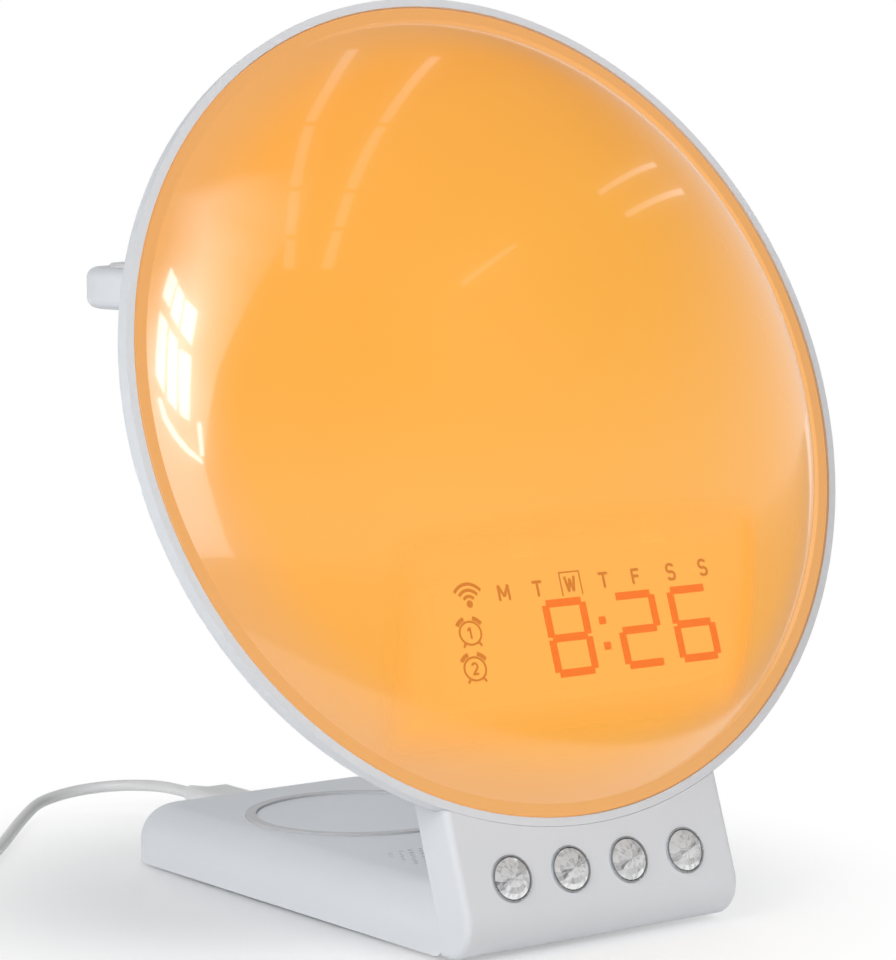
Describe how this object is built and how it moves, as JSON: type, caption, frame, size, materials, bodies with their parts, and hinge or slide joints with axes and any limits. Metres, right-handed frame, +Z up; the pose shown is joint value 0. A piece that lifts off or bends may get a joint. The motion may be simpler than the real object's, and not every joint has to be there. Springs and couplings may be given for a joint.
{
  "type": "sunrise alarm clock",
  "caption": "Round domed wake-up lamp with a lit clock display, leaning on an L-shaped base that charges a phone, with a watch-charging arm behind and a USB lead.",
  "frame": {"origin": "on the table, under the middle of the clock's own width and depth, the free lead not counted", "axes": "+Z up; -Y is the way the lit face looks; +X is to the right when the lit face is looked at"},
  "size_m": [0.2152, 0.2122, 0.1971],
  "materials": {
    "shell_white": "fine matt moulding, soft white",
    "milky_diffuser": "milky polycarbonate, lit warm from behind",
    "reflector_white": "white sheet",
    "circuit_board": "solder resist",
    "led": "lit chip",
    "steel": "zinc plated",
    "display_sheet": "amber tinted sheet, lit from behind",
    "lit_figure": "lit bars",
    "crystal": "cut and polished",
    "ring_metal": "plated",
    "stem_plastic": "moulded",
    "copper": "enamelled copper winding",
    "ferrite": "sintered ferrite",
    "magnet": "nickel plated magnet",
    "chip_black": "moulded packages",
    "cell_steel": "can",
    "ribbon": "flat cable",
    "speaker_metal": "black painted pressing",
    "speaker_cone": "coated paper",
    "silicone": "soft silicone",
    "foot_rubber": "grey rubber",
    "puck_white": "smooth",
    "lead_white": "soft white jacket",
    "plug_white": "moulded over the lead",
    "plug_steel": "nickel plated"
  },
  "bodies": {
    "clock": {"rear_housing": "shell_white", "front_diffuser": "milky_diffuser", "reflector_tray": "reflector_white", "led_board": "circuit_board", "led_chips": "led", "led_board_screws": "steel", "display_shroud": "display_sheet", "display_segments": "lit_figure", "display_board": "circuit_board", "neck_plate": "steel", "neck_screws": "steel", "head_ribbon": "ribbon", "base_shell": "shell_white", "bottom_cover": "shell_white", "cover_screws": "steel", "foot_plate_screws": "steel", "rubber_feet": "foot_rubber", "anti_slip_ring": "silicone", "phone_coil": "copper", "phone_coil_ferrite": "ferrite", "coil_carrier": "stem_plastic", "main_board": "circuit_board", "board_screws": "steel", "board_parts": "chip_black", "cell_holder": "stem_plastic", "backup_cell": "cell_steel", "power_socket": "plug_steel", "base_ribbon": "ribbon", "speaker_frame": "speaker_metal", "speaker_cone": "speaker_cone", "speaker_magnet": "magnet", "button_board": "circuit_board", "button_board_screws": "steel", "tact_switches": "chip_black", "button_rings": "ring_metal", "arm_tray": "shell_white", "arm_lid": "shell_white", "arm_screws": "steel", "watch_puck": "puck_white", "watch_coil": "copper", "watch_coil_ferrite": "ferrite", "watch_magnet": "magnet", "inlet_plug": "plug_white", "inlet_plug_tip": "plug_steel", "power_cord": "lead_white", "cord_coil": "lead_white", "coil_tie": "stem_plastic", "far_plug": "plug_white", "far_plug_shell": "plug_steel"},
    "button_1": {"button_crystal_1": "crystal", "button_stem_1": "stem_plastic"},
    "button_2": {"button_crystal_2": "crystal", "button_stem_2": "stem_plastic"},
    "button_3": {"button_crystal_3": "crystal", "button_stem_3": "stem_plastic"},
    "button_4": {"button_crystal_4": "crystal", "button_stem_4": "stem_plastic"}
  },
  "joints": [
    {"name": "button_1_press", "type": "slide", "parent": "clock", "child": "button_1", "axis": [0, 0.9461, -0.3239], "range_m": [0, 0.0006], "stiffness_N_per_m": 2000, "springref_m": -0.0003},
    {"name": "button_2_press", "type": "slide", "parent": "clock", "child": "button_2", "axis": [0, 0.9461, -0.3239], "range_m": [0, 0.0006], "stiffness_N_per_m": 2000, "springref_m": -0.0003},
    {"name": "button_3_press", "type": "slide", "parent": "clock", "child": "button_3", "axis": [0, 0.9461, -0.3239], "range_m": [0, 0.0006], "stiffness_N_per_m": 2000, "springref_m": -0.0003},
    {"name": "button_4_press", "type": "slide", "parent": "clock", "child": "button_4", "axis": [0, 0.9461, -0.3239], "range_m": [0, 0.0006], "stiffness_N_per_m": 2000, "springref_m": -0.0003}
  ]
}
